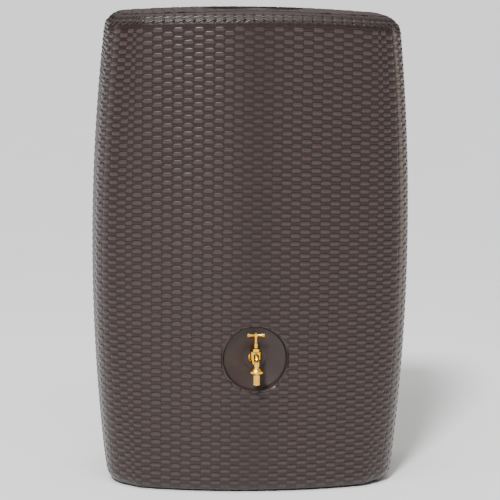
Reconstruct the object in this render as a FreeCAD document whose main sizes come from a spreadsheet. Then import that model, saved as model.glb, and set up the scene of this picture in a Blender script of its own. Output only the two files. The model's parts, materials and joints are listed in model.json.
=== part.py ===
import FreeCAD, Part
import math
import os
import re
import Sketcher

# Slimline rainwater tank with a woven rattan look and a brass bib tap.
# Millimetres. +Z is up, the bowed front faces -Y, and the origin is the middle of the base.

V = FreeCAD.Vector

SIZES = {
    # tank moulding, measured over the crests of the woven strands
    "tank_width": 800,
    "tank_depth": 400,
    "tank_height": 1186,
    "wall": 5,
    "front_radius": 990,
    "corner_radius": 98,
    "back_corner_radius": 52,
    "side_taper": 2,
    "side_draw": 35,
    "waist_height": 585,
    "draw_blend": 90,
    "top_round": 34,
    "foot_round": 32,
    "top_crown": 18,
    # woven strands
    "middle_strand_width": 23.7,
    "strand_width": 25,
    "narrow_strand_width": 17,
    "side_strand_width": 24,
    "groove_width": 8,
    "strand_relief": 2.5,
    # filling opening and lid
    "opening_radius": 95,
    "well_radius": 117,
    "well_depth": 26,
    "rim_land": 5,
    "opening_setback": 12,
    "lid_clearance": 1.5,
    "lid_plate": 5,
    "lid_wall": 3.5,
    "lid_skirt": 24,
    "lid_grip_width": 16,
    "lid_below_top": 2,
    "lid_seal_thickness": 3,
    "lid_seal_width": 14,
    # dish in the front and its boss
    "tap_height": 340,
    "dish_radius": 81,
    "dish_rim": 5,
    "rim_depth": 15,
    "bowl_depth": 26,
    "land_radius": 29,
    "land_depth": 28,
    "insert_length": 18,
    "insert_radius": 16.5,
    "boss_wall": 7,
    # tap body
    "shank_radius": 13.2,
    "shank_length": 18,
    "shank_bore": 7.5,
    "shoulder_radius": 15.5,
    "shoulder_thickness": 4,
    "inlet_radius": 9.5,
    "inlet_reach": 34,
    "tap_seal_radius": 18,
    "tap_seal_thickness": 3,
    "globe_radius": 13.6,
    "globe_foot": 16,
    "globe_base_radius": 9.5,
    "globe_base_height": 6,
    "globe_top": 21,
    "collar_radius": 14.3,
    "collar_height": 3,
    "chamber_radius": 10.4,
    "seat_height": 2.5,
    "seat_web": 4,
    "seat_radius": 5,
    "seat_lip": 0.7,
    "lower_chamber_radius": 7,
    "passage_radius": 4,
    "passage_drop": 4.5,
    "spout_radius": 6.8,
    "spout_bore": 4.6,
    "spout_rise": 12,
    "spout_reach": 32,
    "spout_bend": 12,
    "nose_radius": 11.5,
    "nose_length": 8,
    "nose_drop": 22.5,
    # headwork
    "bonnet_hex": 24,
    "bonnet_gasket_thickness": 1,
    "bonnet_hex_height": 7,
    "bonnet_skirt": 6,
    "neck_radius": 5,
    "neck_height": 9,
    "stuffing_radius": 4.2,
    "stuffing_depth": 5,
    "spindle_hole": 3.08,
    "thread_radius": 5,
    "thread_length": 12,
    "running_gap": 0.08,
    "packing_height": 3,
    "gland_height": 3.5,
    "packing_nut_hex": 11.8,
    "packing_nut_height": 12,
    "packing_nut_cap": 3.5,
    # spindle and handle
    "spindle_radius": 3,
    "spindle_top": 60,
    "square_side": 4,
    "square_length": 6,
    "hub_radius": 4.4,
    "hub_height": 8.5,
    "bar_length": 41.5,
    "bar_waist": 2,
    "bar_end": 4.1,
    "bar_tip": 3,
    "screw_head_radius": 3.9,
    "screw_head_height": 3.2,
    "screw_radius": 1.2,
    "screw_length": 8,
    # valve
    "plate_radius": 7.5,
    "plate_thickness": 2.5,
    "pin_radius": 2.4,
    "pin_length": 7,
    "washer_radius": 7,
    "washer_thickness": 2.4,
    "stud_radius": 1.5,
    "washer_nut_hex": 5.5,
    "washer_nut_height": 1.8,
    # union and hose tail
    "union_radius": 17.7,
    "union_height": 14,
    "union_edge": 4,
    "union_lip": 2.4,
    "union_shoulder": 13,
    "union_seal_thickness": 2,
    "tail_flange_radius": 11.2,
    "tail_flange_thickness": 2.5,
    "tail_radius": 8.6,
    "barb_radius": 9.4,
    "barb_count": 4,
    "barb_length": 5,
    "tail_bore": 6.6,
    "tail_end_land": 4,
}

doc = FreeCAD.newDocument("slimline_water_tank")
sheet = doc.addObject("Spreadsheet::Sheet", "Sizes")
for row, (alias, number) in enumerate(SIZES.items(), start=1):
    sheet.set("A%d" % row, alias.replace("_", " "))
    sheet.set("B%d" % row, str(number))
    sheet.setAlias("B%d" % row, alias)
doc.recompute()


def size(alias):
    """A driving dimension, read back from the sheet."""
    return float(sheet.get(alias))


def bound(text):
    """An expression in which each size's name points at its cell."""
    def cell(match):
        word = match.group()
        return "Sizes." + word if word in SIZES else word
    return re.sub(r"[a-z][a-z_]+", cell, text)


def value(text):
    """The number that an expression of sizes gives."""
    result = sheet.evalExpression(bound(text))
    return float(getattr(result, "Value", result))


def tie(item, **expressions):
    """Bind properties of an object to expressions of the sizes."""
    for prop, text in expressions.items():
        item.setExpression(prop.replace("__", "."), bound(text))


def stand(item, x="0", y="0", z="0", axis=V(0, 0, 1), angle=0):
    """Give an object its place, with each coordinate bound to the sizes."""
    item.Placement = FreeCAD.Placement(V(value(x), value(y), value(z)), FreeCAD.Rotation(axis, angle))
    tie(item, Placement__Base__x=x, Placement__Base__y=y, Placement__Base__z=z)
    return item


# Profiles and primitives

def origin_plane(body, role):
    return [f for f in body.Origin.OriginFeatures if f.Role == role][0]


def draw_edge(sketch, start, end, radius):
    """Add one side of a profile. A positive radius bulges outwards and a negative one is hollow."""
    if radius is None:
        return sketch.addGeometry(Part.LineSegment(start, end)), 1, 2
    along = end - start
    left = V(-along.y, along.x, 0).normalize()
    reach = math.sqrt(max(radius ** 2 - (along.Length / 2) ** 2, 0))
    centre = (start + end) * 0.5 + left * math.copysign(reach, radius)
    first, last = (start, end) if radius > 0 else (end, start)
    angles = [math.atan2(p.y - centre.y, p.x - centre.x) for p in (first, last)]
    circle = Part.Circle(centre, V(0, 0, 1), abs(radius))
    arc = sketch.addGeometry(Part.ArcOfCircle(circle, angles[0], angles[1]))
    return (arc, 1, 2) if radius > 0 else (arc, 2, 1)


def draw_profile(sketch, corners):
    """A closed profile, every corner dimensioned from the origin: (across, up[, radius of next side])."""
    points = [V(value(c[0]), value(c[1]), 0) for c in corners]
    sides = []
    for i, corner in enumerate(corners):
        radius = value(corner[2]) if len(corner) > 2 else None
        sides.append(draw_edge(sketch, points[i], points[(i + 1) % len(points)], radius))
    for i, (side, start, end) in enumerate(sides):
        following = sides[(i + 1) % len(sides)]
        sketch.addConstraint(Sketcher.Constraint("Coincident", side, end, following[0], following[1]))
    for corner, (side, start, end) in zip(corners, sides):
        for kind, text, own_axis in (("DistanceX", corner[0], -2), ("DistanceY", corner[1], -1)):
            if text == "0":
                sketch.addConstraint(Sketcher.Constraint("PointOnObject", side, start, own_axis))
            else:
                number = sketch.addConstraint(Sketcher.Constraint(kind, -1, 1, side, start, value(text)))
                sketch.setExpression("Constraints[%d]" % number, bound(text))
        if len(corner) > 2:
            number = sketch.addConstraint(Sketcher.Constraint("Radius", side, abs(value(corner[2]))))
            sketch.setExpression("Constraints[%d]" % number, "abs(%s)" % bound(corner[2]))


def turned(label, corners):
    """A round piece: the half section, in radius and height, revolved about the vertical axis."""
    body = doc.addObject("PartDesign::Body", label)
    sketch = body.newObject("Sketcher::SketchObject", label + "_section")
    sketch.AttachmentSupport = (origin_plane(body, "XZ_Plane"), "")
    sketch.MapMode = "FlatFace"
    draw_profile(sketch, corners)
    doc.recompute()
    turn = body.newObject("PartDesign::Revolution", label + "_turn")
    turn.Profile = sketch
    turn.ReferenceAxis = (sketch, ["V_Axis"])
    turn.Angle = 360
    body.Tip = turn
    return body


def cylinder(label, radius, height):
    item = doc.addObject("Part::Cylinder", label)
    tie(item, Radius=radius, Height=height)
    return item


def cone(label, radius_low, radius_high, height):
    item = doc.addObject("Part::Cone", label)
    tie(item, Radius1=radius_low, Radius2=radius_high, Height=height)
    return item


def box(label, length, width, height):
    item = doc.addObject("Part::Box", label)
    tie(item, Length=length, Width=width, Height=height)
    return item


def hexagon(label, across_flats, height):
    item = doc.addObject("Part::Prism", label)
    item.Polygon = 6
    tie(item, Circumradius="(%s) / sqrt(3)" % across_flats, Height=height)
    return item


def fuse(label, *pieces):
    item = doc.addObject("Part::MultiFuse", label)
    item.Shapes = list(pieces)
    return item


def cut(label, base, *tools):
    item = doc.addObject("Part::Cut", label)
    item.Base = base
    item.Tool = tools[0] if len(tools) == 1 else fuse(label + "_tools", *tools)
    return item


# Tank skin

def plan_lengths():
    """Where the front arc, the corner, the side and the back corner end, measured along the outline."""
    taper = math.radians(size("side_taper"))
    half, depth = size("tank_width") / 2, size("tank_depth")
    front, corner = size("front_radius"), size("corner_radius")
    back = size("back_corner_radius")
    reach = half - corner * math.cos(taper) - (depth - front + corner * math.sin(taper)) * math.tan(taper)
    turn = math.asin(reach * math.cos(taper) / (front - corner)) - taper
    corner_sweep = math.pi / 2 - taper - turn
    side_start = front - (front - corner) * math.cos(turn) - corner * math.sin(taper)
    setback = back * math.tan((math.pi / 2 + taper) / 2)
    side = (depth - side_start) / math.cos(taper) - setback
    lengths = [front * turn, corner * corner_sweep, side, back * (math.pi / 2 + taper)]
    ends = [sum(lengths[:i + 1]) for i in range(4)]
    return turn, ends


TURN, ENDS = plan_lengths()


def outline(along):
    """Point and outward normal of the outline at a length measured from the middle of the front."""
    s, side = abs(along), math.copysign(1, along)
    front, corner, back = size("front_radius"), size("corner_radius"), size("back_corner_radius")
    taper = math.radians(size("side_taper"))
    if s <= ENDS[0]:
        angle = s / front
        x, y = front * math.sin(angle), front * (1 - math.cos(angle))
    elif s <= ENDS[1]:
        angle = TURN + (s - ENDS[0]) / corner
        x = (front - corner) * math.sin(TURN) + corner * math.sin(angle)
        y = front - (front - corner) * math.cos(TURN) - corner * math.cos(angle)
    else:
        angle = math.pi / 2 - taper
        x = (front - corner) * math.sin(TURN) + corner * math.sin(angle)
        y = front - (front - corner) * math.cos(TURN) - corner * math.cos(angle)
        run = min(s, ENDS[2]) - ENDS[1]
        x, y = x + run * math.cos(angle), y + run * math.sin(angle)
        if s > ENDS[2]:
            sweep = (s - ENDS[2]) / back
            x += back * (math.sin(angle + sweep) - math.sin(angle))
            y += back * (math.cos(angle) - math.cos(angle + sweep))
            angle += sweep
    return V(side * x, y - size("tank_depth") / 2, 0), V(side * math.sin(angle), -math.cos(angle), 0)


def strand_edges():
    """Lengths along the outline of the grooves between the strands, from the middle to the back corner."""
    edges = [size("middle_strand_width") * (i + 0.5) for i in range(5)]
    wide, narrow = size("strand_width"), size("narrow_strand_width")
    while edges[-1] + wide + narrow < ENDS[0] + size("corner_radius") / 10:
        edges.append(edges[-1] + wide)
    edges.append(edges[-1] + narrow)
    count = round((ENDS[2] - edges[-1]) / size("side_strand_width"))
    step = (ENDS[2] - edges[-1]) / count
    return edges + [edges[-1] + step * (i + 1) for i in range(count)]


LAND_Y = "-tank_depth / 2 + land_depth"
BACK_CORNER_STEPS = 4
BACK_PANELS = 12
WALL_STEPS = 6


def stations(woven):
    """Places along half the outline, each with 1 on a strand's crest and 0 in a groove."""
    edges = strand_edges()
    if not woven:
        edges = [s for i, s in enumerate(edges) if s > ENDS[0] * 0.9 or i % 2]
    half_groove = size("groove_width") / 2
    middle = edges[0]
    places = [(middle - half_groove, 1)] if woven else []
    for low, high in zip(edges, edges[1:]):
        places.append((low, 0))
        if woven:
            places += [(low + half_groove, 1), (high - half_groove, 1)]
    places.append((edges[-1], 0))
    step = (ENDS[3] - ENDS[2]) / BACK_CORNER_STEPS
    places += [(ENDS[2] + step * (i + 1), 1) for i in range(BACK_CORNER_STEPS)]
    return places


def top_height(x):
    """The top is crowned a little from side to side."""
    return size("tank_height") - size("top_crown") * (x / (size("tank_width") / 2)) ** 2


def side_draw(height):
    """How far the sides draw in above and below the waist."""
    half_height = size("tank_height") / 2
    return size("side_draw") * ((height - size("waist_height")) / half_height) ** 2


def skin_point(along, crest, height, inset, relief):
    """One corner of a section. The sides draw in, and the front keeps its straight uprights."""
    point, normal = outline(along)
    share = (abs(along) - ENDS[0]) / size("draw_blend") + 2 / 3
    share = min(max(share, 0), 1)
    share = share * share * (3 - 2 * share)
    point.x -= math.copysign(side_draw(height) * share, along)
    return point - normal * (inset + relief * (1 - crest))


def loop_points(places, height, inset, relief):
    """A whole section, left half, right half and back, as points that lie flat."""
    right = [skin_point(s, crest, height, inset, relief) for s, crest in places]
    left = [skin_point(-s, crest, height, inset, relief) for s, crest in places]
    gap = left[-1] - right[-1]
    back = [right[-1] + gap * (i / BACK_PANELS) for i in range(1, BACK_PANELS)]
    return right + back + left[::-1]


def at_height(points, height):
    return [V(p.x, p.y, height) for p in points]


def opening_ring(points, height):
    """The flat rim round the filling opening, seen from the same directions as the outline's points."""
    middle = V(0, size("opening_setback"), 0)
    radius = size("well_radius") + size("rim_land")
    ring = []
    for p in points:
        angle = math.atan2(p.y - middle.y, p.x - middle.x)
        ring.append(V(radius * math.cos(angle), middle.y + radius * math.sin(angle), height))
    return ring


def band(sections):
    """The faces between a row of sections, straight from each to the next."""
    wires = [Part.makePolygon(points + points[:1]) for points in sections]
    return Part.makeLoft(wires, False, True).Faces


def skin(gap):
    """The tank's outside (gap 0) or, a wall's thickness further in, its plain inside, as a closed shell."""
    woven = gap == 0
    relief = size("strand_relief") if woven else 0
    inset = 0 if woven else gap + size("strand_relief")
    places = stations(woven)
    foot_round, top_round = size("foot_round"), size("top_round")
    foot, wall, top = [], [], []
    round_steps = (0, 30, 60, 90) if woven else (0, 45, 90)
    for degrees in round_steps:
        a = math.radians(degrees)
        height = gap + (foot_round - gap) * (1 - math.cos(a))
        inwards = inset + (foot_round - inset) * (1 - math.sin(a))
        foot.append(at_height(loop_points(places, height, inwards, relief * (1 - math.cos(a))), height))
    for degrees in round_steps:
        a = math.radians(degrees)
        fall = gap + (top_round - gap) * (1 - math.sin(a))
        inwards = inset + (top_round - inset) * (1 - math.cos(a))
        points = loop_points(places, size("tank_height") - fall, inwards, relief * math.cos(a))
        top.append([V(p.x, p.y, top_height(p.x) - fall) for p in points])
    wall_top = size("tank_height") - size("top_crown") - top_round
    for i in range(WALL_STEPS):
        height = foot_round + (wall_top - foot_round) * i / WALL_STEPS
        wall.append(at_height(loop_points(places, height, inset, relief), height))
    rim = top[-1]
    ring = opening_ring(rim, size("tank_height") - gap)
    faces = band(foot + wall[1:] + top + [ring])
    for flat in (foot[0], ring):
        faces.append(Part.Face(Part.makePolygon(flat + flat[:1])))
    shell = Part.makeShell(faces)
    shell.sewShape()
    return shell


def bowl_radius(r_low, h_low, r_high, h_high):
    """Radius of the sphere, centred on the axis, that passes through two circles."""
    squares = "(({2})^2 + ({3})^2 - ({0})^2 - ({1})^2)".format(r_low, h_low, r_high, h_high)
    centre = "(%s / (2 * ((%s) - (%s))))" % (squares, h_high, h_low)
    return "sqrt((%s)^2 + (%s - (%s))^2)" % (r_low, centre, h_low)


def on_land(item, behind="0"):
    """Lay a round piece on the dish's axis, its foot behind the flat land, pointing to the front."""
    return stand(item, y="%s + %s" % (LAND_Y, behind), z="tap_height", axis=V(1, 0, 0), angle=90)


def dish(label, grow="0"):
    """What the dish takes from the tank: a flat land, a shallow bowl and a steep rim."""
    land = ("land_radius + " + grow, "land_depth - bowl_depth - " + grow)
    edge = ("dish_radius - dish_rim + " + grow, "land_depth - rim_depth - " + grow)
    tool = turned(label, [
        ("0", "-(%s)" % grow),
        (land[0], "-(%s)" % grow),
        (land[0], land[1], bowl_radius(*land, *edge)),
        edge,
        ("dish_radius + " + grow, "land_depth - " + grow),
        ("dish_radius + " + grow, "land_depth + wall"),
        ("0", "land_depth + wall"),
    ])
    return on_land(tool)


def make_tank_body():
    """The moulding: two skins with the wall between them, opened for the filling opening and the tap."""
    inside = doc.addObject("Part::Feature", "inner_skin")
    inside.Shape = Part.makeSolid(skin(size("wall")))
    well_wall = cylinder("well_wall", "well_radius + wall", "well_depth + wall")
    stand(well_wall, y="opening_setback", z="tank_height - well_depth - wall")
    boss = cylinder("insert_boss", "insert_radius + boss_wall", "insert_length + wall")
    on_land(boss, "insert_length")
    cavity = cut("cavity", inside, well_wall, boss, dish("dish_back", "wall"))
    doc.recompute()
    shells = Part.makeCompound([skin(0), cavity.Shape.Shells[0].reversed()])
    hollow = doc.addObject("Part::Feature", "hollow_tank")
    hollow.Shape = Part.makeSolid(shells)
    well = cylinder("lid_well", "well_radius", "well_depth + wall")
    stand(well, y="opening_setback", z="tank_height - well_depth")
    opening = cylinder("filling_opening", "opening_radius", "well_depth + 3 * wall")
    stand(opening, y="opening_setback", z="tank_height - well_depth - 2 * wall")
    socket = cylinder("insert_socket", "insert_radius + running_gap / 2", "insert_length + 2 * wall")
    on_land(socket, "insert_length + wall")
    return cut("tank_body", hollow, well, opening, socket, dish("dish_front"))


def make_lid():
    """A dished lid with a skirt into the opening and a bar across it to lift it by."""
    outer = "well_radius - lid_clearance"
    skirt = "opening_radius - lid_clearance"
    rise = "well_depth - lid_seal_thickness - lid_below_top"
    pan = turned("lid_pan", [
        ("0", "lid_skirt"),
        (skirt + " - lid_wall", "lid_skirt"),
        (skirt + " - lid_wall", "0"),
        (skirt, "0"),
        (skirt, "lid_skirt"),
        (outer, "lid_skirt"),
        (outer, "lid_skirt + " + rise),
        (outer + " - lid_wall", "lid_skirt + " + rise),
        (outer + " - 2 * lid_wall", "lid_skirt + lid_plate"),
        ("0", "lid_skirt + lid_plate"),
    ])
    grip = box("lid_grip", "2 * (%s - lid_wall)" % outer, "lid_grip_width", rise + " - lid_wall")
    stand(grip, x="lid_wall - (%s)" % outer, y="-lid_grip_width / 2", z="lid_skirt + lid_wall")
    lid = fuse("lid", pan, grip)
    return stand(lid, y="opening_setback", z="tank_height - well_depth + lid_seal_thickness - lid_skirt")


def make_lid_seal():
    inner = "opening_radius - lid_clearance + 0.3"
    seal = turned("lid_seal", [
        (inner, "0"),
        (inner + " + lid_seal_width", "0"),
        (inner + " + lid_seal_width", "lid_seal_thickness"),
        (inner, "lid_seal_thickness"),
    ])
    return stand(seal, y="opening_setback", z="tank_height - well_depth")


# Tap. Its own origin is where the inlet's axis crosses the spindle's.

TAP_Y = LAND_Y + " - tap_seal_thickness - inlet_reach"
SPOUT_Y = "(%s) - spout_reach" % TAP_Y


def on_inlet(item, behind):
    """Lay a round piece along the inlet, its foot behind the spindle, pointing to the front."""
    return stand(item, y=behind, axis=V(1, 0, 0), angle=90)


def at_tap(item):
    return stand(item, y=TAP_Y, z="tap_height")


def make_wall_insert():
    """A threaded bush with two collars that key it into the moulding."""
    groove = "insert_radius - 1.5"
    bush = turned("wall_insert", [
        ("shank_radius + running_gap / 2", "0"),
        ("insert_radius", "0"),
        ("insert_radius", "insert_length / 3"),
        (groove, "insert_length / 3"),
        (groove, "insert_length * 2 / 3"),
        ("insert_radius", "insert_length * 2 / 3"),
        ("insert_radius", "insert_length"),
        ("shank_radius + running_gap / 2", "insert_length"),
    ])
    return on_land(bush, "insert_length")


def make_tap_seal():
    ring = turned("tap_seal", [
        ("shank_radius + running_gap", "0"),
        ("tap_seal_radius", "0"),
        ("tap_seal_radius", "tap_seal_thickness"),
        ("shank_radius + running_gap", "tap_seal_thickness"),
    ])
    return on_land(ring)


def spout_tube(prefix, radius, drop):
    """Level run out of the globe, quarter bend and vertical drop, all of one radius."""
    run = cylinder(prefix + "_run", radius, "spout_reach - spout_bend")
    stand(run, z="spout_rise", axis=V(1, 0, 0), angle=90)
    bend = doc.addObject("Part::Torus", prefix + "_bend")
    bend.Angle3 = 90
    tie(bend, Radius1="spout_bend", Radius2=radius)
    # the quarter starts straight up and ends pointing to the front
    bend.Placement.Rotation = FreeCAD.Rotation(V(0, 0, 1), V(0, -1, 0), V(1, 0, 0), "XYZ")
    tie(bend, Placement__Base__y="spout_bend - spout_reach", Placement__Base__z="spout_rise - spout_bend")
    fall = cylinder(prefix + "_fall", radius, "(%s) + spout_rise - spout_bend" % drop)
    stand(fall, y="-spout_reach", z="-(%s)" % drop)
    return [run, bend, fall]


def make_tap_body():
    """The casting: globe, inlet with shoulder and shank, and the spout with its threaded nose."""
    globe = turned("globe", [
        ("0", "0"),
        ("globe_base_radius * 0.6", "0"),
        ("globe_base_radius", "globe_base_height"),
        ("globe_radius", "globe_foot + seat_height"),
        ("globe_radius", "globe_foot + globe_top - collar_height"),
        ("collar_radius", "globe_foot + globe_top - collar_height"),
        ("collar_radius", "globe_foot + globe_top"),
        ("0", "globe_foot + globe_top"),
    ])
    stand(globe, z="-globe_foot")
    inlet = cylinder("inlet", "inlet_radius", "inlet_reach")
    on_inlet(inlet, "inlet_reach")
    shoulder = cylinder("shoulder", "shoulder_radius", "shoulder_thickness")
    on_inlet(shoulder, "inlet_reach")
    shank = cylinder("shank", "shank_radius", "shank_length")
    on_inlet(shank, "inlet_reach + shank_length")
    nose = cylinder("nose", "nose_radius", "nose_length")
    stand(nose, y="-spout_reach", z="-nose_drop")
    nose_taper = cone("nose_taper", "nose_radius", "spout_radius", "nose_radius - spout_radius")
    stand(nose_taper, y="-spout_reach", z="nose_length - nose_drop")
    casting = fuse("tap_casting", globe, inlet, shoulder, shank, nose, nose_taper,
                   *spout_tube("spout", "spout_radius", "nose_drop"))
    chamber = turned("chamber", [
        ("0", "0"),
        ("seat_radius", "0"),
        ("seat_radius", "seat_lip"),
        ("seat_radius + 2", "seat_lip"),
        ("seat_radius + 2", "0"),
        ("chamber_radius", "0"),
        ("chamber_radius", "globe_top"),
        ("0", "globe_top"),
    ])
    stand(chamber, z="seat_height")
    seat_hole = cylinder("seat_hole", "seat_radius", "seat_web + 2 * seat_lip")
    stand(seat_hole, z="seat_height - seat_web - seat_lip")
    lower = turned("lower_chamber", [
        ("0", "0"),
        ("lower_chamber_radius * 0.6", "0"),
        ("lower_chamber_radius", "globe_foot / 4"),
        ("lower_chamber_radius", "globe_foot * 0.6"),
        ("0", "globe_foot * 0.6"),
    ])
    stand(lower, z="seat_height - seat_web - globe_foot * 0.6")
    bore = cylinder("shank_bore_tool", "shank_bore", "inlet_reach + shank_length - chamber_radius - 4")
    on_inlet(bore, "inlet_reach + shank_length")
    passage = cylinder("passage", "passage_radius", "chamber_radius + 4")
    stand(passage, y="chamber_radius + 6", z="-passage_drop", axis=V(1, 0, 0), angle=90)
    waterway = spout_tube("waterway", "spout_bore", "nose_drop + 1")
    body = cut("tap_body", casting, chamber, seat_hole, lower, bore, passage, *waterway)
    return at_tap(body)


def make_bonnet_gasket():
    ring = turned("bonnet_gasket", [
        ("chamber_radius", "0"),
        ("collar_radius - 1", "0"),
        ("collar_radius - 1", "bonnet_gasket_thickness"),
        ("chamber_radius", "bonnet_gasket_thickness"),
    ])
    return stand(ring, y=TAP_Y, z="tap_height + globe_top")


BONNET_Z = "globe_top + bonnet_gasket_thickness"
NECK_TOP = BONNET_Z + " + bonnet_hex_height + neck_height"


def make_bonnet():
    """Hexagon with a threaded skirt below and a neck with the stuffing box above."""
    hexagon_part = hexagon("bonnet_hexagon", "bonnet_hex", "bonnet_hex_height")
    below = "bonnet_skirt + bonnet_gasket_thickness"
    skirt = cylinder("bonnet_skirt_ring", "chamber_radius - running_gap", below)
    stand(skirt, z="-(%s)" % below)
    neck = cylinder("bonnet_neck", "neck_radius", "neck_height")
    stand(neck, z="bonnet_hex_height")
    dome = cone("bonnet_dome", "bonnet_hex / 2 - 0.5", "neck_radius", "2")
    stand(dome, z="bonnet_hex_height")
    solid = fuse("bonnet_solid", hexagon_part, skirt, neck, dome)
    thread = cylinder("bonnet_thread", "thread_radius + running_gap", below + " + bonnet_hex_height")
    stand(thread, z="-(%s)" % below)
    hole = cylinder("bonnet_hole", "spindle_hole", "bonnet_hex_height + neck_height")
    stuffing = cylinder("bonnet_stuffing", "stuffing_radius", "stuffing_depth + 1")
    stand(stuffing, z="bonnet_hex_height + neck_height - stuffing_depth")
    bonnet = cut("bonnet", solid, thread, hole, stuffing)
    return stand(bonnet, y=TAP_Y, z="tap_height + " + BONNET_Z)


def ring_on_spindle(label, outer, height, above):
    ring = turned(label, [
        ("spindle_hole", "0"),
        (outer, "0"),
        (outer, height),
        ("spindle_hole", height),
    ])
    return stand(ring, y=TAP_Y, z="tap_height + " + above)


def make_stem_packing():
    above = NECK_TOP + " - stuffing_depth"
    return ring_on_spindle("stem_packing", "stuffing_radius", "packing_height", above)


def make_packing_gland():
    return ring_on_spindle("packing_gland", "stuffing_radius - running_gap", "gland_height",
                           NECK_TOP + " - stuffing_depth + packing_height")


def make_packing_nut():
    """A hexagon nut, chamfered at the top, that screws down on the neck and presses on the gland."""
    blank = hexagon("packing_nut_hexagon", "packing_nut_hex", "packing_nut_height")
    chamfer = turned("packing_nut_chamfer", [
        ("0", "0"),
        ("packing_nut_hex", "0"),
        ("packing_nut_hex", "packing_nut_height - 5"),
        ("packing_nut_hex / 2 - 1", "packing_nut_height"),
        ("0", "packing_nut_height"),
    ])
    shaped = doc.addObject("Part::Common", "packing_nut_blank")
    shaped.Base = blank
    shaped.Tool = chamfer
    depth = "packing_nut_height - packing_nut_cap"
    thread = cylinder("packing_nut_thread", "neck_radius + running_gap / 2", depth)
    hole = cylinder("packing_nut_hole", "spindle_hole", "packing_nut_height")
    nut = cut("packing_nut", shaped, thread, hole)
    top_of_gland = NECK_TOP + " - stuffing_depth + packing_height + gland_height"
    return stand(nut, y=TAP_Y, z="tap_height + %s - (%s)" % (top_of_gland, depth))


SEAT_TOP = "seat_height + seat_lip + running_gap"
PLATE_Z = SEAT_TOP + " + washer_thickness"
SPINDLE_Z = PLATE_Z + " + plate_thickness + running_gap"


def make_valve_washer():
    ring = turned("valve_washer", [
        ("stud_radius", "0"),
        ("washer_radius", "0"),
        ("washer_radius", "washer_thickness"),
        ("stud_radius", "washer_thickness"),
    ])
    return stand(ring, y=TAP_Y, z="tap_height + " + SEAT_TOP)


def make_valve_plate():
    """The jumper: a disc with a pin that turns in the spindle's hollow end and a stud for the washer."""
    stud = "washer_thickness + washer_nut_height"
    plate = turned("valve_plate", [
        ("0", "0"),
        ("stud_radius", "0"),
        ("stud_radius", stud),
        ("plate_radius", stud),
        ("plate_radius", stud + " + plate_thickness"),
        ("pin_radius", stud + " + plate_thickness"),
        ("pin_radius", stud + " + plate_thickness + pin_length"),
        ("0", stud + " + plate_thickness + pin_length"),
    ])
    return stand(plate, y=TAP_Y, z="tap_height + %s - washer_nut_height" % SEAT_TOP)


def make_washer_nut():
    nut = cut("washer_nut", hexagon("washer_nut_blank", "washer_nut_hex", "washer_nut_height"),
              cylinder("washer_nut_hole", "stud_radius", "washer_nut_height"))
    return stand(nut, y=TAP_Y, z="tap_height + %s - washer_nut_height" % SEAT_TOP)


def make_spindle():
    """Threaded foot, plain stem and a square for the handle, tapped for its screw."""
    foot = "thread_length"
    stem_top = "spindle_top - (%s)" % SPINDLE_Z
    turned_part = turned("spindle_turned", [
        ("0", "pin_length + 1"),
        ("pin_radius + running_gap", "pin_length + 1"),
        ("pin_radius + running_gap", "0"),
        ("thread_radius", "0"),
        ("thread_radius", foot),
        ("spindle_radius", foot + " + 1"),
        ("spindle_radius", stem_top),
        ("0", stem_top),
    ])
    square = box("spindle_square", "square_side", "square_side", "square_length + 1")
    stand(square, x="-square_side / 2", y="-square_side / 2", z=stem_top + " - 1")
    tapped = cylinder("spindle_tapped", "screw_radius + running_gap / 2", "screw_length + 1")
    stand(tapped, z=stem_top + " + square_length - screw_length")
    spindle = cut("spindle", fuse("spindle_solid", turned_part, square), tapped)
    return stand(spindle, y=TAP_Y, z="tap_height + " + SPINDLE_Z)


def make_handle():
    """A cast bar, thin beside the hub and flared to its ends."""
    half = "bar_length / 2"
    bar = turned("handle_bar", [
        ("0", "0"),
        ("bar_end", "0"),
        ("bar_end", "bar_tip"),
        ("bar_waist", half),
        ("bar_end", "bar_length - bar_tip"),
        ("bar_end", "bar_length"),
        ("0", "bar_length"),
    ])
    stand(bar, x="-" + half, z="hub_height / 2", axis=V(0, 1, 0), angle=90)
    hub = turned("handle_hub", [
        ("0", "0"),
        ("hub_radius", "0"),
        ("hub_radius", "hub_height"),
        ("0", "hub_height"),
    ])
    hole = box("handle_square", "square_side + running_gap", "square_side + running_gap", "hub_height")
    stand(hole, x="-(square_side + running_gap) / 2", y="-(square_side + running_gap) / 2")
    socket = cylinder("handle_socket", "spindle_radius + running_gap / 2", "hub_height - square_length")
    handle = cut("handle", fuse("handle_solid", bar, hub), hole, socket)
    return stand(handle, y=TAP_Y, z="tap_height + spindle_top + square_length - hub_height")


def make_handle_screw():
    screw = turned("handle_screw", [
        ("0", "0"),
        ("screw_radius", "0"),
        ("screw_radius", "screw_length"),
        ("screw_head_radius", "screw_length"),
        ("screw_head_radius * 0.8", "screw_length + screw_head_height * 0.7"),
        ("screw_head_radius * 0.4", "screw_length + screw_head_height"),
        ("0", "screw_length + screw_head_height"),
    ])
    return stand(screw, y=TAP_Y, z="tap_height + spindle_top + square_length - screw_length")


NOSE_Z = "tap_height - nose_drop"
TAIL_TOP = NOSE_Z + " - union_seal_thickness"
UNION_Z = TAIL_TOP + " - tail_flange_thickness - running_gap - union_lip"


def make_union_seal():
    ring = turned("union_seal", [
        ("tail_bore", "0"),
        ("tail_flange_radius", "0"),
        ("tail_flange_radius", "union_seal_thickness"),
        ("tail_bore", "union_seal_thickness"),
    ])
    return stand(ring, y=SPOUT_Y, z=TAIL_TOP)


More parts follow.
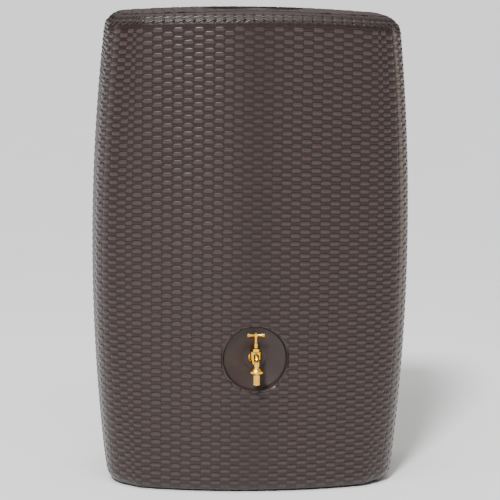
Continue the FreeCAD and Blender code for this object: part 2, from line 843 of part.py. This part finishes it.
def make_union_nut():
    """A lens-shaped ring with a thread for the spout's nose and a lip under the tail's flange."""
    edge_low = "(union_height - union_edge) / 2"
    edge_high = "(union_height + union_edge) / 2"
    nut = turned("union_nut", [
        ("tail_radius + 1.2", "0"),
        ("union_shoulder", "0"),
        ("union_radius", edge_low),
        ("union_radius", edge_high),
        ("union_shoulder", "union_height"),
        ("nose_radius + running_gap", "union_height"),
        ("nose_radius + running_gap", "union_lip"),
        ("tail_radius + 1.2", "union_lip"),
    ])
    return stand(nut, y=SPOUT_Y, z=UNION_Z)


def make_hose_tail():
    """A flanged tube with barbs that widen upwards and a plain end to start the hose on."""
    bottom = "tail_end_land + barb_count * barb_length"
    flange = bottom + " + 4"
    corners = [
        ("tail_bore", "0"),
        ("tail_radius", "0"),
        ("barb_radius", "1"),
        ("barb_radius", "tail_end_land"),
    ]
    for i in range(int(size("barb_count"))):
        corners.append(("tail_radius", "tail_end_land + %d * barb_length" % i))
        corners.append(("barb_radius", "tail_end_land + %d * barb_length" % (i + 1)))
    corners.append(("tail_radius", bottom))
    corners.append(("tail_radius", flange))
    corners.append(("tail_flange_radius", flange))
    corners.append(("tail_flange_radius", flange + " + tail_flange_thickness"))
    corners.append(("tail_bore", flange + " + tail_flange_thickness"))
    tail = turned("hose_tail", corners)
    return stand(tail, y=SPOUT_Y, z="%s - (%s + tail_flange_thickness)" % (TAIL_TOP, flange))


makers = [
    make_tank_body, make_lid, make_lid_seal, make_wall_insert, make_tap_seal, make_tap_body,
    make_bonnet_gasket, make_bonnet, make_stem_packing, make_packing_gland, make_packing_nut,
    make_valve_washer, make_valve_plate, make_washer_nut, make_spindle, make_handle, make_handle_screw,
    make_union_seal, make_union_nut, make_hose_tail,
]
pieces = []
for maker in makers:
    pieces.append(maker())
doc.recompute()

for item in doc.Objects:
    if "Invalid" in item.State or "Error" in item.State:
        raise RuntimeError("%s failed to build: %s" % (item.Label, item.State))
for piece in pieces:
    if piece.Shape.isNull() or not piece.Shape.isValid():
        raise RuntimeError("%s has no valid shape" % piece.Label)

os.makedirs("parts", exist_ok=True)
for piece in pieces:
    piece.Shape.exportStep("parts/%s.step" % piece.Label)
    print("%-16s %10.1f mm3  %s" % (piece.Label, piece.Shape.Volume, len(piece.Shape.Solids)))
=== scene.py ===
import json
import math

import bpy
import numpy as np
from mathutils import Matrix, Vector
from mathutils.bvhtree import BVHTree


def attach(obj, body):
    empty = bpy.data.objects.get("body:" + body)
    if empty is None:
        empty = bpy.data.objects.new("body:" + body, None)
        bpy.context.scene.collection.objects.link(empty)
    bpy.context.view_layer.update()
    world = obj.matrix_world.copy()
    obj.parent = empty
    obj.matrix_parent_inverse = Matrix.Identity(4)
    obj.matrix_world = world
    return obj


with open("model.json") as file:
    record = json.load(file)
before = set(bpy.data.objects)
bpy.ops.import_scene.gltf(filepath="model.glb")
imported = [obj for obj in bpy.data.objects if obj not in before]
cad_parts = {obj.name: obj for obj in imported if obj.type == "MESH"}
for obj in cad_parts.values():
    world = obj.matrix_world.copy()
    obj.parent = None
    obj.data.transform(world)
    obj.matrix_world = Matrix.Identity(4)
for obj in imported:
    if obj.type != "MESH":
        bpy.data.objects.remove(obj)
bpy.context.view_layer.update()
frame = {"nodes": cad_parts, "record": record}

# Sizes in millimetres, as in the tank's construction
HALF_WIDTH, HALF_DEPTH, HEIGHT = 400.0, 200.0, 1186.0
FRONT_RADIUS, CORNER_RADIUS, BACK_RADIUS = 990.0, 98.0, 52.0
TAPER = math.radians(2.0)
SIDE_DRAW, WAIST = 35.0, 585.0
DRAW_BLEND, DRAW_LEAD = 90.0, 2 / 3
TOP_ROUND, FOOT_ROUND, TOP_CROWN = 34.0, 32.0, 18.0
MIDDLE_STRAND, STRAND, NARROW_STRAND, SIDE_STRAND = 23.7, 25.0, 17.0, 24.0
MIDDLE_LINES = 5
FRONT_OVERRUN = CORNER_RADIUS / 10
ROW = 10.0
DISH_HEIGHT, DISH_RADIUS = 340.0, 81.0
WELL_RIM, WELL_SETBACK = 122.0, 12.0
MM_PER_METRE = 1000


# The tank's outline, measured from the middle of the front

def corner_turn():
    """The angle through which half the front bows before its corner starts."""
    depth = 2 * HALF_DEPTH - FRONT_RADIUS + CORNER_RADIUS * math.sin(TAPER)
    reach = HALF_WIDTH - CORNER_RADIUS * math.cos(TAPER) - depth * math.tan(TAPER)
    return math.asin(reach * math.cos(TAPER) / (FRONT_RADIUS - CORNER_RADIUS)) - TAPER


TURN = corner_turn()
FRONT_END = FRONT_RADIUS * TURN
CORNER_END = FRONT_END + CORNER_RADIUS * (math.pi / 2 - TAPER - TURN)
SIDE_START_Y = (FRONT_RADIUS - (FRONT_RADIUS - CORNER_RADIUS) * math.cos(TURN)
                - CORNER_RADIUS * math.sin(TAPER))
SIDE_END = (CORNER_END + (2 * HALF_DEPTH - SIDE_START_Y) / math.cos(TAPER)
            - BACK_RADIUS * math.tan((math.pi / 2 + TAPER) / 2))


def outline(along):
    """Points and outward directions at signed lengths from the middle of the front, as arrays."""
    s, side = np.abs(along), np.sign(along)
    on_front = np.minimum(s, FRONT_END) / FRONT_RADIUS
    on_corner = np.clip(s - FRONT_END, 0, CORNER_END - FRONT_END) / CORNER_RADIUS
    on_side = np.maximum(s - CORNER_END, 0)
    angle = on_front + on_corner
    centre = FRONT_RADIUS - CORNER_RADIUS
    x = np.where(s <= FRONT_END, FRONT_RADIUS * np.sin(on_front),
                 centre * np.sin(on_front) + CORNER_RADIUS * np.sin(angle)
                 + on_side * np.cos(angle))
    y = np.where(s <= FRONT_END, FRONT_RADIUS * (1 - np.cos(on_front)),
                 FRONT_RADIUS - centre * np.cos(on_front) - CORNER_RADIUS * np.cos(angle)
                 + on_side * np.sin(angle))
    return side * x, y - HALF_DEPTH, side * np.sin(angle), -np.cos(angle)


def draw_share(along):
    """How much of the side's inward draw a place on the outline takes part in."""
    share = np.clip((np.abs(along) - FRONT_END) / DRAW_BLEND + DRAW_LEAD, 0, 1)
    return share * share * (3 - 2 * share)


def side_draw(z):
    """How far the side is drawn in at a height."""
    return SIDE_DRAW * ((z - WAIST) / (HEIGHT / 2)) ** 2


def crown_fall(x):
    """How much lower the top is than its middle."""
    return TOP_CROWN * (np.abs(x) / HALF_WIDTH) ** 2


def skin(along, up, height):
    """Points of the outside, in millimetres. up is measured along the wall from the top of the
    foot's rounding, and on round the top's own rounding. height is how far a point stands off the
    crests of the strands."""
    x, y, nx, ny = outline(along)
    share = draw_share(along)
    side = np.sign(along)
    fall = crown_fall(x - side * side_draw(HEIGHT) * share)
    wall_top = HEIGHT - fall - TOP_ROUND
    low = np.minimum(up, 0) / FOOT_ROUND
    high = np.clip((FOOT_ROUND + up - wall_top) / TOP_ROUND, 0, math.pi / 2)
    over_edge = np.maximum(FOOT_ROUND + up - wall_top - TOP_ROUND * math.pi / 2, 0)
    z = np.where(up < 0, FOOT_ROUND + FOOT_ROUND * np.sin(low),
                 np.minimum(FOOT_ROUND + up, wall_top))
    z = z + TOP_ROUND * np.sin(high)
    inwards = FOOT_ROUND * (1 - np.cos(low)) + TOP_ROUND * (1 - np.cos(high)) + over_edge
    level = np.cos(low) * np.cos(high)
    rise = np.sin(low) + np.sin(high)
    z_draw = np.where(up < 0, z, np.minimum(z + fall * np.sin(high), HEIGHT))
    px = x - side * side_draw(z_draw) * share + nx * (height * level - inwards)
    py = y + ny * (height * level - inwards)
    return np.stack(np.broadcast_arrays(px, py, z + height * rise), axis=-1)


def wall_length(along):
    """Length of the straight part of the wall above the foot's rounding."""
    x = outline(along)[0] - np.sign(along) * side_draw(HEIGHT) * draw_share(along)
    return HEIGHT - crown_fall(x) - TOP_ROUND - FOOT_ROUND


def strand_edges():
    """The lines between the upright strands, from one back corner round the front to the other."""
    edges = [MIDDLE_STRAND * (i + 0.5) for i in range(MIDDLE_LINES)]
    while edges[-1] + STRAND + NARROW_STRAND < FRONT_END + FRONT_OVERRUN:
        edges.append(edges[-1] + STRAND)
    edges.append(edges[-1] + NARROW_STRAND)
    count = round((SIDE_END - edges[-1]) / SIDE_STRAND)
    step = (SIDE_END - edges[-1]) / count
    edges += [edges[-1] + step * (i + 1) for i in range(count)]
    return np.array([-e for e in edges[::-1]] + edges)


# Materials: base colours, the darker and the lighter shade of each, and noise

# The weave's darker colour is painted shade, laid where the weave stands lowest between the
# strands; the lighter one is its colour on the crests
WEAVE_PAINTED_SHADE, WEAVE_LIGHT = (0.016, 0.0090, 0.0085), (0.052, 0.032, 0.030)
PLASTIC_DARK, PLASTIC_LIGHT = (0.024, 0.0145, 0.0135), (0.031, 0.0195, 0.018)
BRASS, BRASS_DARK, BRASS_LIGHT = (0.92, 0.52, 0.07), (0.84, 0.45, 0.05), (0.95, 0.58, 0.10)
RUBBER, RUBBER_DARK, RUBBER_LIGHT = (0.02, 0.02, 0.02), (0.014, 0.014, 0.014), (0.028, 0.027, 0.026)
FIBRE, FIBRE_DARK, FIBRE_LIGHT = (0.30, 0.28, 0.23), (0.22, 0.20, 0.16), (0.40, 0.37, 0.31)
FLOOR, FLOOR_DARK, FLOOR_LIGHT = (0.93, 0.93, 0.93), (0.92, 0.92, 0.92), (0.94, 0.94, 0.94)
NOISE_LOW, NOISE_HIGH = 0.3, 0.7
EVEN = (1, 1, 1)


def new_material(name, base, roughness, metallic=0.0, specular=0.5):
    material = bpy.data.materials.new(name)
    material.use_nodes = True
    tree = material.node_tree
    shader = tree.nodes["Principled BSDF"]
    shader.inputs["Base Color"].default_value = (*base, 1)
    shader.inputs["Roughness"].default_value = roughness
    shader.inputs["Metallic"].default_value = metallic
    shader.inputs["Specular IOR Level"].default_value = specular
    return material, tree, shader


def stretched_noise(tree, stretch, scale, detail=3.0):
    """Noise in the part's own coordinates, stretched by a factor on each axis."""
    coordinates = tree.nodes.new("ShaderNodeTexCoord")
    mapping = tree.nodes.new("ShaderNodeMapping")
    mapping.inputs["Scale"].default_value = stretch
    noise = tree.nodes.new("ShaderNodeTexNoise")
    noise.inputs["Scale"].default_value = scale
    noise.inputs["Detail"].default_value = detail
    tree.links.new(coordinates.outputs["Object"], mapping.inputs["Vector"])
    tree.links.new(mapping.outputs["Vector"], noise.inputs["Vector"])
    return noise.outputs["Fac"]


def map_range(tree, socket, low, high, to_low=0.0, to_high=1.0):
    spread = tree.nodes.new("ShaderNodeMapRange")
    spread.inputs["From Min"].default_value = low
    spread.inputs["From Max"].default_value = high
    spread.inputs["To Min"].default_value = to_low
    spread.inputs["To Max"].default_value = to_high
    tree.links.new(socket, spread.inputs["Value"])
    return spread.outputs["Result"]


def tint(tree, shader, socket, dark, light, low=NOISE_LOW, high=NOISE_HIGH):
    """Base colour that goes from dark to light as a value rises from low to high."""
    ramp = tree.nodes.new("ShaderNodeValToRGB")
    ramp.color_ramp.elements[0].color = (*dark, 1)
    ramp.color_ramp.elements[1].color = (*light, 1)
    tree.links.new(map_range(tree, socket, low, high), ramp.inputs["Fac"])
    tree.links.new(ramp.outputs["Color"], shader.inputs["Base Color"])


def vary_roughness(tree, shader, noise, low, high):
    varied = map_range(tree, noise, NOISE_LOW, NOISE_HIGH, low, high)
    tree.links.new(varied, shader.inputs["Roughness"])


def emboss(tree, shader, noise, distance, strength):
    bump = tree.nodes.new("ShaderNodeBump")
    bump.inputs["Distance"].default_value = distance
    bump.inputs["Strength"].default_value = strength
    tree.links.new(noise, bump.inputs["Height"])
    tree.links.new(bump.outputs["Normal"], shader.inputs["Normal"])


def woven_plastic():
    """Satin plastic with a fine grain along the rows, with painted shade: its base colour is darker
    between the strands than on them, set by the lift attribute.
    """
    material, tree, shader = new_material("woven_plastic", WEAVE_LIGHT, 0.32, specular=0.4)
    grain = stretched_noise(tree, (0.12, 0.12, 1.0), scale=420.0, detail=2.0)
    vary_roughness(tree, shader, grain, 0.24, 0.34)
    emboss(tree, shader, grain, distance=0.0003, strength=0.5)
    # Painted shade: the base colour goes from the darker to the lighter weave colour as the lift
    # rises, so the sunk cells and the seams are painted darker
    lift = tree.nodes.new("ShaderNodeAttribute")
    lift.attribute_name = "lift"
    tint(tree, shader, lift.outputs["Fac"], WEAVE_PAINTED_SHADE, WEAVE_LIGHT, low=0.1, high=1.6)
    return material


def smooth_plastic(name, roughness):
    material, tree, shader = new_material(name, PLASTIC_LIGHT, roughness)
    tint(tree, shader, stretched_noise(tree, EVEN, scale=18.0), PLASTIC_DARK, PLASTIC_LIGHT)
    fine = stretched_noise(tree, EVEN, scale=900.0, detail=1.0)
    vary_roughness(tree, shader, fine, roughness - 0.05, roughness + 0.06)
    emboss(tree, shader, fine, distance=0.0001, strength=0.4)
    return material


def brass():
    material, tree, shader = new_material("brass", BRASS, 0.15, metallic=1.0)
    cloud = stretched_noise(tree, EVEN, scale=60.0)
    tint(tree, shader, cloud, BRASS_DARK, BRASS_LIGHT)
    vary_roughness(tree, shader, cloud, 0.10, 0.20)
    return material


def matte(name, base, dark, light, roughness, specular=0.5, stretch=EVEN, scale=200.0):
    """A plain surface with a faint mottle and no gloss of its own."""
    material, tree, shader = new_material(name, base, roughness, specular=specular)
    tint(tree, shader, stretched_noise(tree, stretch, scale), dark, light)
    return material


MATERIALS = {
    "woven_plastic": woven_plastic(),
    "lid_plastic": smooth_plastic("lid_plastic", roughness=0.45),
    "tank_plastic": smooth_plastic("tank_plastic", roughness=0.42),
    "brass": brass(),
    "seal_rubber": matte("seal_rubber", RUBBER, RUBBER_DARK, RUBBER_LIGHT, roughness=0.7),
    "packing": matte("packing", FIBRE, FIBRE_DARK, FIBRE_LIGHT, roughness=0.9,
                     stretch=(1, 1, 4), scale=900.0),
}


def paint(obj, material):
    obj.data.materials.clear()
    obj.data.materials.append(material)


slots = {row["node"]: row["material_slot"] for row in frame["record"]["subparts"]}
for name, obj in frame["nodes"].items():
    paint(obj, MATERIALS["tank_plastic" if name == "tank_body" else slots[name]])


# Meshes from grids of points in millimetres

def add_object(name, data):
    obj = bpy.data.objects.new(name, data)
    bpy.context.scene.collection.objects.link(obj)
    return obj


def corners(grid):
    """The values at the four corners of each of a grid's faces."""
    return np.stack([grid[:-1, :-1], grid[:-1, 1:], grid[1:, 1:], grid[1:, :-1]], axis=-1)


def woven_piece(name, points, faces, lift):
    """A piece of the weave that rides on the tank. lift is how far each point stands off; stored as
    the lift attribute, it sets the painted shade of the base colour, darker where it is low.
    """
    mesh = bpy.data.meshes.new(name)
    mesh.from_pydata((points / MM_PER_METRE).tolist(), [], faces.tolist())
    attribute = mesh.attributes.new("lift", "FLOAT", "POINT")
    attribute.data.foreach_set("value", np.ascontiguousarray(lift, dtype=np.float32))
    mesh.polygons.foreach_set("use_smooth", [True] * len(mesh.polygons))
    mesh.update()
    obj = add_object(name, mesh)
    paint(obj, MATERIALS["woven_plastic"])
    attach(obj, "tank")


def woven_grid(name, points, keep, lift):
    """A piece from a grid of points, with the faces whose corners are all kept."""
    number = np.arange(keep.size).reshape(keep.shape)
    faces = corners(number)[corners(keep).all(axis=-1)]
    used = np.unique(faces)
    renumber = np.zeros(keep.size, int)
    renumber[used] = np.arange(len(used))
    woven_piece(name, points.reshape(-1, 3)[used], renumber[faces], lift.reshape(-1)[used])


# The weave, laid over the tank's outside. The lines of a cell's grid lie at these shares of its
# width and height. Shoulders count them from its side to its middle, levels from its lower edge

ACROSS = (0.0, 0.07, 0.22, 0.5, 0.78, 0.93)
SHOULDERS = (0, 1, 2, 3, 2, 1)
UP = (0.0, 0.2, 0.5, 0.8)
LEVELS = (0, 1, 2, 3)
BETWEEN_ROWS, MID_STRAND = 0, 2

# Heights off the crests by shoulder, and their share above and below the middle of a strand
SEAM_HEIGHTS = (-0.2, 0.20, 0.15, 0.15)
RAISED_HEIGHTS, RAISED_FLANK = (0.25, 1.60, 1.80, 1.88), 0.84
SUNK_HEIGHTS, SUNK_FLANK = (0.25, 0.55, 0.42, 0.35), 0.6
SIDE_HEIGHT = 0.25

# How far the lines of a cell are shifted up, by shoulder and by level
SPREADS = (0.0, 0.8, 1.0, 1.0)
SEAM_SHIFT = 0.5
INNER_SHIFTS = (0.0, -0.3, 0.0, 0.3)

FOOT_ROWS = 3
FOOT_FADE = 0.2
TOP_WRAP = 8.0
UPPER_EDGE_HEIGHT = 0.1
MIDDLE_CALM, CALM_REACH = 0.45, 55
DISH_MARGIN, DISH_EDGE_HEIGHT = 2.5, 0.6
SMALLEST_DISTANCE = 1e-6


def cell_height(over, shoulder, level):
    """How far a cell stands off the crests. over marks the cells that pass over an upright."""
    seam = np.choose(shoulder, SEAM_HEIGHTS)
    middle = level == MID_STRAND
    raised = np.choose(shoulder, RAISED_HEIGHTS) * np.where(middle, 1.0, RAISED_FLANK)
    sunk = np.choose(shoulder, SUNK_HEIGHTS) * np.where(middle, 1.0, SUNK_FLANK)
    return np.where(level == BETWEEN_ROWS, seam, np.where(over, raised, sunk))


def cell_spread(over, shoulder, level):
    """How far a line of a cell is shifted up, because raised strands swell over the sunk ones."""
    seam = np.where(over, -SEAM_SHIFT, SEAM_SHIFT)
    inner = np.choose(level, INNER_SHIFTS) * np.where(over, 1.0, -1.0)
    return np.choose(shoulder, SPREADS) * np.where(level == BETWEEN_ROWS, seam, inner)


def weave_columns(edges):
    """For each line of the grid across: its length along the outline, its shoulder and its cell."""
    lines = [(low + (high - low) * share, shoulder, cell)
             for cell, (low, high) in enumerate(zip(edges, edges[1:]))
             for share, shoulder in zip(ACROSS, SHOULDERS)]
    lines.append((edges[-1], 0, len(edges) - 2))
    return [np.array(values)[None, :] for values in zip(*lines)]


def weave_rows(first, last):
    """For each line of the grid upwards: its row and its level."""
    lines = [(row, level) for row in range(first, last) for level in LEVELS]
    lines.append((last, BETWEEN_ROWS))
    return [np.array(values)[:, None] for values in zip(*lines)]


def dish_edge(points, along):
    """Cut the cells off on the dish's circle: which points are kept, with those at the edge moved
    onto it."""
    rim = DISH_RADIUS + DISH_MARGIN
    dx, dz = points[..., 0], points[..., 2] - DISH_HEIGHT
    distance = np.hypot(dx, dz)
    inside = (distance < rim) & (np.abs(along) < 2 * DISH_RADIUS)
    outside = np.pad(~inside, 1, constant_values=False)
    rows, columns = inside.shape
    touching = np.zeros_like(inside)
    for i in range(3):
        for j in range(3):
            touching |= outside[i:i + rows, j:j + columns]
    edge = inside & touching
    factor = np.where(edge, rim / np.maximum(distance, SMALLEST_DISTANCE), 1.0)
    x = dx * factor
    near = np.clip(x, -2 * rim, 2 * rim)
    bow = FRONT_RADIUS - np.sqrt(FRONT_RADIUS ** 2 - near ** 2) - HALF_DEPTH
    points[..., 0] = np.where(edge, x, dx)
    points[..., 2] = np.where(edge, DISH_HEIGHT + dz * factor, points[..., 2])
    points[..., 1] = np.where(edge, bow + DISH_EDGE_HEIGHT, points[..., 1])
    return ~inside | edge


def make_weave():
    """The weave of front and sides, in three pieces side by side."""
    s, shoulder, column = weave_columns(strand_edges())
    count = column.max() + 1
    length = wall_length(s) + TOP_WRAP
    rows = int(round(float(length.max()) / ROW))
    row, level = weave_rows(-FOOT_ROWS, rows)
    t = row + np.array(UP)[level]
    up = np.where(t < 0, t * ROW, t * length / rows)
    over = ((row + column) % 2 == 0) & (row < rows - 1)
    calm = 1 - MIDDLE_CALM * np.exp(-(s / CALM_REACH) ** 2)
    height = SIDE_HEIGHT + (cell_height(over, shoulder, level) - SIDE_HEIGHT) * calm
    up = up + cell_spread(over, shoulder, level) * ((t > 0) & (t < rows))
    height = np.where(t < 0, height * (1 + FOOT_FADE * t), height)
    height = np.where(t >= rows, np.minimum(height, UPPER_EDGE_HEIGHT), height)
    points = skin(s, up, height)
    keep = dish_edge(points, s)
    ends = [len(ACROSS) * cells for cells in (0, count // 3, count - count // 3, count)]
    # Painted shade: height also goes to the material as the lift attribute, so the weave is painted
    # darker where it stands low, in sunk cells, at the seams, on the foot and over the top edge
    for name, first, last in zip(("weave_left", "weave", "weave_right"), ends, ends[1:]):
        part = np.s_[:, first:last + 1]
        woven_grid(name, points[part], keep[part], height[part])


# The border: two courses of short slanted strands round the top edge. Each course has its start
# above the weave's upper edge, its strands' rise and their swell. A strand reaches this share of
# its column's width to either side of the column's middle

COURSES = ((-2.0, 12.0, 1.9), (16.0, 10.0, 0.6))
STRAND_WIDTH = 6.0
STRAND_REACH = 0.62
STRAND_SINK = 0.6
LINES_ALONG, LINES_ACROSS = 8, 5
# The swell at which a course keeps its full lift for the painted shade; flatter courses are painted
# darker
FULL_SWELL = 2.5


def arch(along, inset):
    """Half a wave along a strand, which starts and ends a little inside its feet."""
    return np.sin(math.pi * (inset + (1 - 2 * inset) * along))


def make_border():
    edges = strand_edges()
    along = np.linspace(0, 1, LINES_ALONG)[:, None]
    across = np.linspace(-1, 1, LINES_ACROSS)[None, :]
    number = np.arange(LINES_ALONG * LINES_ACROSS).reshape(LINES_ALONG, LINES_ACROSS)
    quads = corners(number).reshape(-1, 4)
    half_width = across * STRAND_WIDTH / 2 * arch(along, 0.06) ** 0.5
    points, painted_shade_lifts, faces = [], [], []
    for start_up, rise, swell in COURSES:
        up = TOP_WRAP + start_up + rise * along + half_width
        lift = -STRAND_SINK + swell * arch(along, 0.04) ** 0.7 * (1 - across ** 2) ** 0.6
        for low, high in zip(edges, edges[1:]):
            middle = (low + high) / 2
            lean = 1 if middle < 0 else -1
            reach = lean * STRAND_REACH * (high - low)
            start, end = middle - reach, middle + reach
            s = start + (end - start) * along + 0 * across
            place = skin(s, wall_length(np.full_like(s, middle)) + up, lift)
            faces.append((quads if lean > 0 else quads[:, ::-1]) + number.size * len(points))
            points.append(place.reshape(-1, 3))
            # Painted shade: the lift that sets the base colour is scaled by the course's swell, so
            # the flatter upper course on the top's rounding is painted darker than the lower one
            painted_shade_lifts.append((lift * swell / FULL_SWELL).reshape(-1))
    woven_piece("border", np.concatenate(points), np.concatenate(faces), np.concatenate(painted_shade_lifts))


# The top's own weave, from the border to the rim of the lid's well

TOP_COLUMNS, TOP_ROWS = 28, 33
TOP_EDGE_FALL = 3.0
WELL_MARGIN = 1
TOP_STAND, TOP_RELIEF = 0.3, 0.8


def make_top_weave():
    lines = [(cell, share, shoulder) for cell in range(TOP_COLUMNS)
             for share, shoulder in zip(ACROSS, SHOULDERS)] + [(TOP_COLUMNS, 0.0, 0)]
    cell, share, shoulder = [np.array(values)[None, :] for values in zip(*lines)]
    row, level = weave_rows(0, TOP_ROWS)
    x = (cell + share - TOP_COLUMNS / 2) * STRAND
    y = (row + np.array(UP)[level] - TOP_ROWS / 2) * ROW
    height = cell_height((row + cell) % 2 == 0, shoulder, level)
    x, y = np.broadcast_arrays(x, y)
    tank = frame["nodes"]["tank_body"].data
    tree = BVHTree.FromPolygons([v.co for v in tank.vertices],
                                [tuple(p.vertices) for p in tank.polygons])
    ceiling = Vector((0, 0, 2 * HEIGHT / MM_PER_METRE))
    down = Vector((0, 0, -1))
    z = np.zeros(x.shape)
    for i in np.ndindex(x.shape):
        place = ceiling + Vector((x[i] / MM_PER_METRE, y[i] / MM_PER_METRE, 0))
        hit = tree.ray_cast(place, down)[0]
        z[i] = hit.z * MM_PER_METRE if hit else 0
    on_top = z > HEIGHT - (crown_fall(x) + TOP_EDGE_FALL)
    keep = on_top & (np.hypot(x, y - WELL_SETBACK) > WELL_RIM + WELL_MARGIN)
    lift = TOP_STAND + height * TOP_RELIEF
    # Painted shade: the cells' height goes to the material as the lift attribute, so the top's sunk
    # cells and seams are painted darker
    woven_grid("top_weave", np.stack([x, y, z + lift], axis=-1), keep, height)


make_weave()
make_border()
make_top_weave()


# Surroundings, in metres: a wide pale floor, soft lights and the camera

FLOOR_HALF = 200.0
WORLD_STRENGTH = 0.8
HORIZON, ZENITH = (0.03, 0.03, 0.03, 1), (1, 1, 1, 1)
HORIZON_RISE, ZENITH_RISE = 0.1, 0.9
WARM = (1.0, 0.80, 0.62)
YAW, PITCH, ROLL = math.radians(4.791), math.radians(9.103), math.radians(0.754)
AIM, DISTANCE = (0, -0.2, 0.6), 4.638
SENSOR, FOCAL_PIXELS, PICTURE_PIXELS = 36, 1908.6, 500
SHIFT_X, SHIFT_Y = -0.0134, 0.0089


def make_floor():
    material = matte("floor", FLOOR, FLOOR_DARK, FLOOR_LIGHT, roughness=0.7, specular=0.1,
                     scale=2.0)
    mesh = bpy.data.meshes.new("floor")
    signs = ((-1, -1), (1, -1), (1, 1), (-1, 1))
    mesh.from_pydata([(x * FLOOR_HALF, y * FLOOR_HALF, 0) for x, y in signs], [], [(0, 1, 2, 3)])
    floor = add_object("floor", mesh)
    paint(floor, material)


def soft_light(name, place, target, size, power, color=(1, 1, 1)):
    light = bpy.data.lights.new(name, "AREA")
    light.shape = "RECTANGLE"
    light.size, light.size_y = size
    light.energy = power
    light.color = color
    obj = add_object(name, light)
    obj.location = place
    facing = Vector(target) - Vector(place)
    obj.rotation_euler = facing.to_track_quat("-Z", "Y").to_euler()


def sun(name, toward, strength, spread):
    light = bpy.data.lights.new(name, "SUN")
    light.energy = strength
    light.angle = math.radians(spread)
    obj = add_object(name, light)
    obj.rotation_euler = (-Vector(toward)).to_track_quat("-Z", "Y").to_euler()


def make_world():
    """A light sky that darkens towards the horizon."""
    world = bpy.data.worlds.new("studio")
    world.use_nodes = True
    tree = world.node_tree
    background = tree.nodes["Background"]
    background.inputs["Strength"].default_value = WORLD_STRENGTH
    direction = tree.nodes.new("ShaderNodeTexCoord")
    parts = tree.nodes.new("ShaderNodeSeparateXYZ")
    sky = tree.nodes.new("ShaderNodeValToRGB")
    sky.color_ramp.elements[0].color = HORIZON
    sky.color_ramp.elements[1].color = ZENITH
    tree.links.new(direction.outputs["Generated"], parts.inputs["Vector"])
    rise = map_range(tree, parts.outputs["Z"], HORIZON_RISE, ZENITH_RISE)
    tree.links.new(rise, sky.inputs["Fac"])
    tree.links.new(sky.outputs["Color"], background.inputs["Color"])
    bpy.context.scene.world = world


def make_lights():
    sun("key", toward=(-0.25, -0.70, 0.72), strength=3.9, spread=9)
    soft_light("top", place=(-0.3, -1.2, 3.0), target=AIM, size=(2.2, 0.5), power=40)
    soft_light("left_strip", place=(-2.2, 0.5, 0.9), target=(0, 0, 0.6), size=(0.25, 2.2), power=4)
    soft_light("right_strip", place=(2.2, 0.5, 0.9), target=(0, 0, 0.6), size=(0.25, 2.2), power=7,
               color=WARM)


def make_camera():
    """A long lens a little above the top and a little to the left."""
    forward = Vector((math.sin(YAW) * math.cos(PITCH), math.cos(YAW) * math.cos(PITCH),
                      -math.sin(PITCH)))
    right = Vector((math.cos(YAW), -math.sin(YAW), 0))
    up = right.cross(forward)
    across = right * math.cos(ROLL) + up * math.sin(ROLL)
    above = up * math.cos(ROLL) - right * math.sin(ROLL)
    place = Vector(AIM) - forward * DISTANCE
    data = bpy.data.cameras.new("camera")
    data.sensor_width = SENSOR
    data.lens = FOCAL_PIXELS / PICTURE_PIXELS * SENSOR
    data.shift_x = SHIFT_X
    data.shift_y = SHIFT_Y
    camera = add_object("camera", data)
    camera.matrix_world = Matrix((
        (across.x, above.x, -forward.x, place.x),
        (across.y, above.y, -forward.y, place.y),
        (across.z, above.z, -forward.z, place.z),
        (0, 0, 0, 1),
    ))
    bpy.context.scene.camera = camera


make_floor()
make_world()
make_lights()
make_camera()
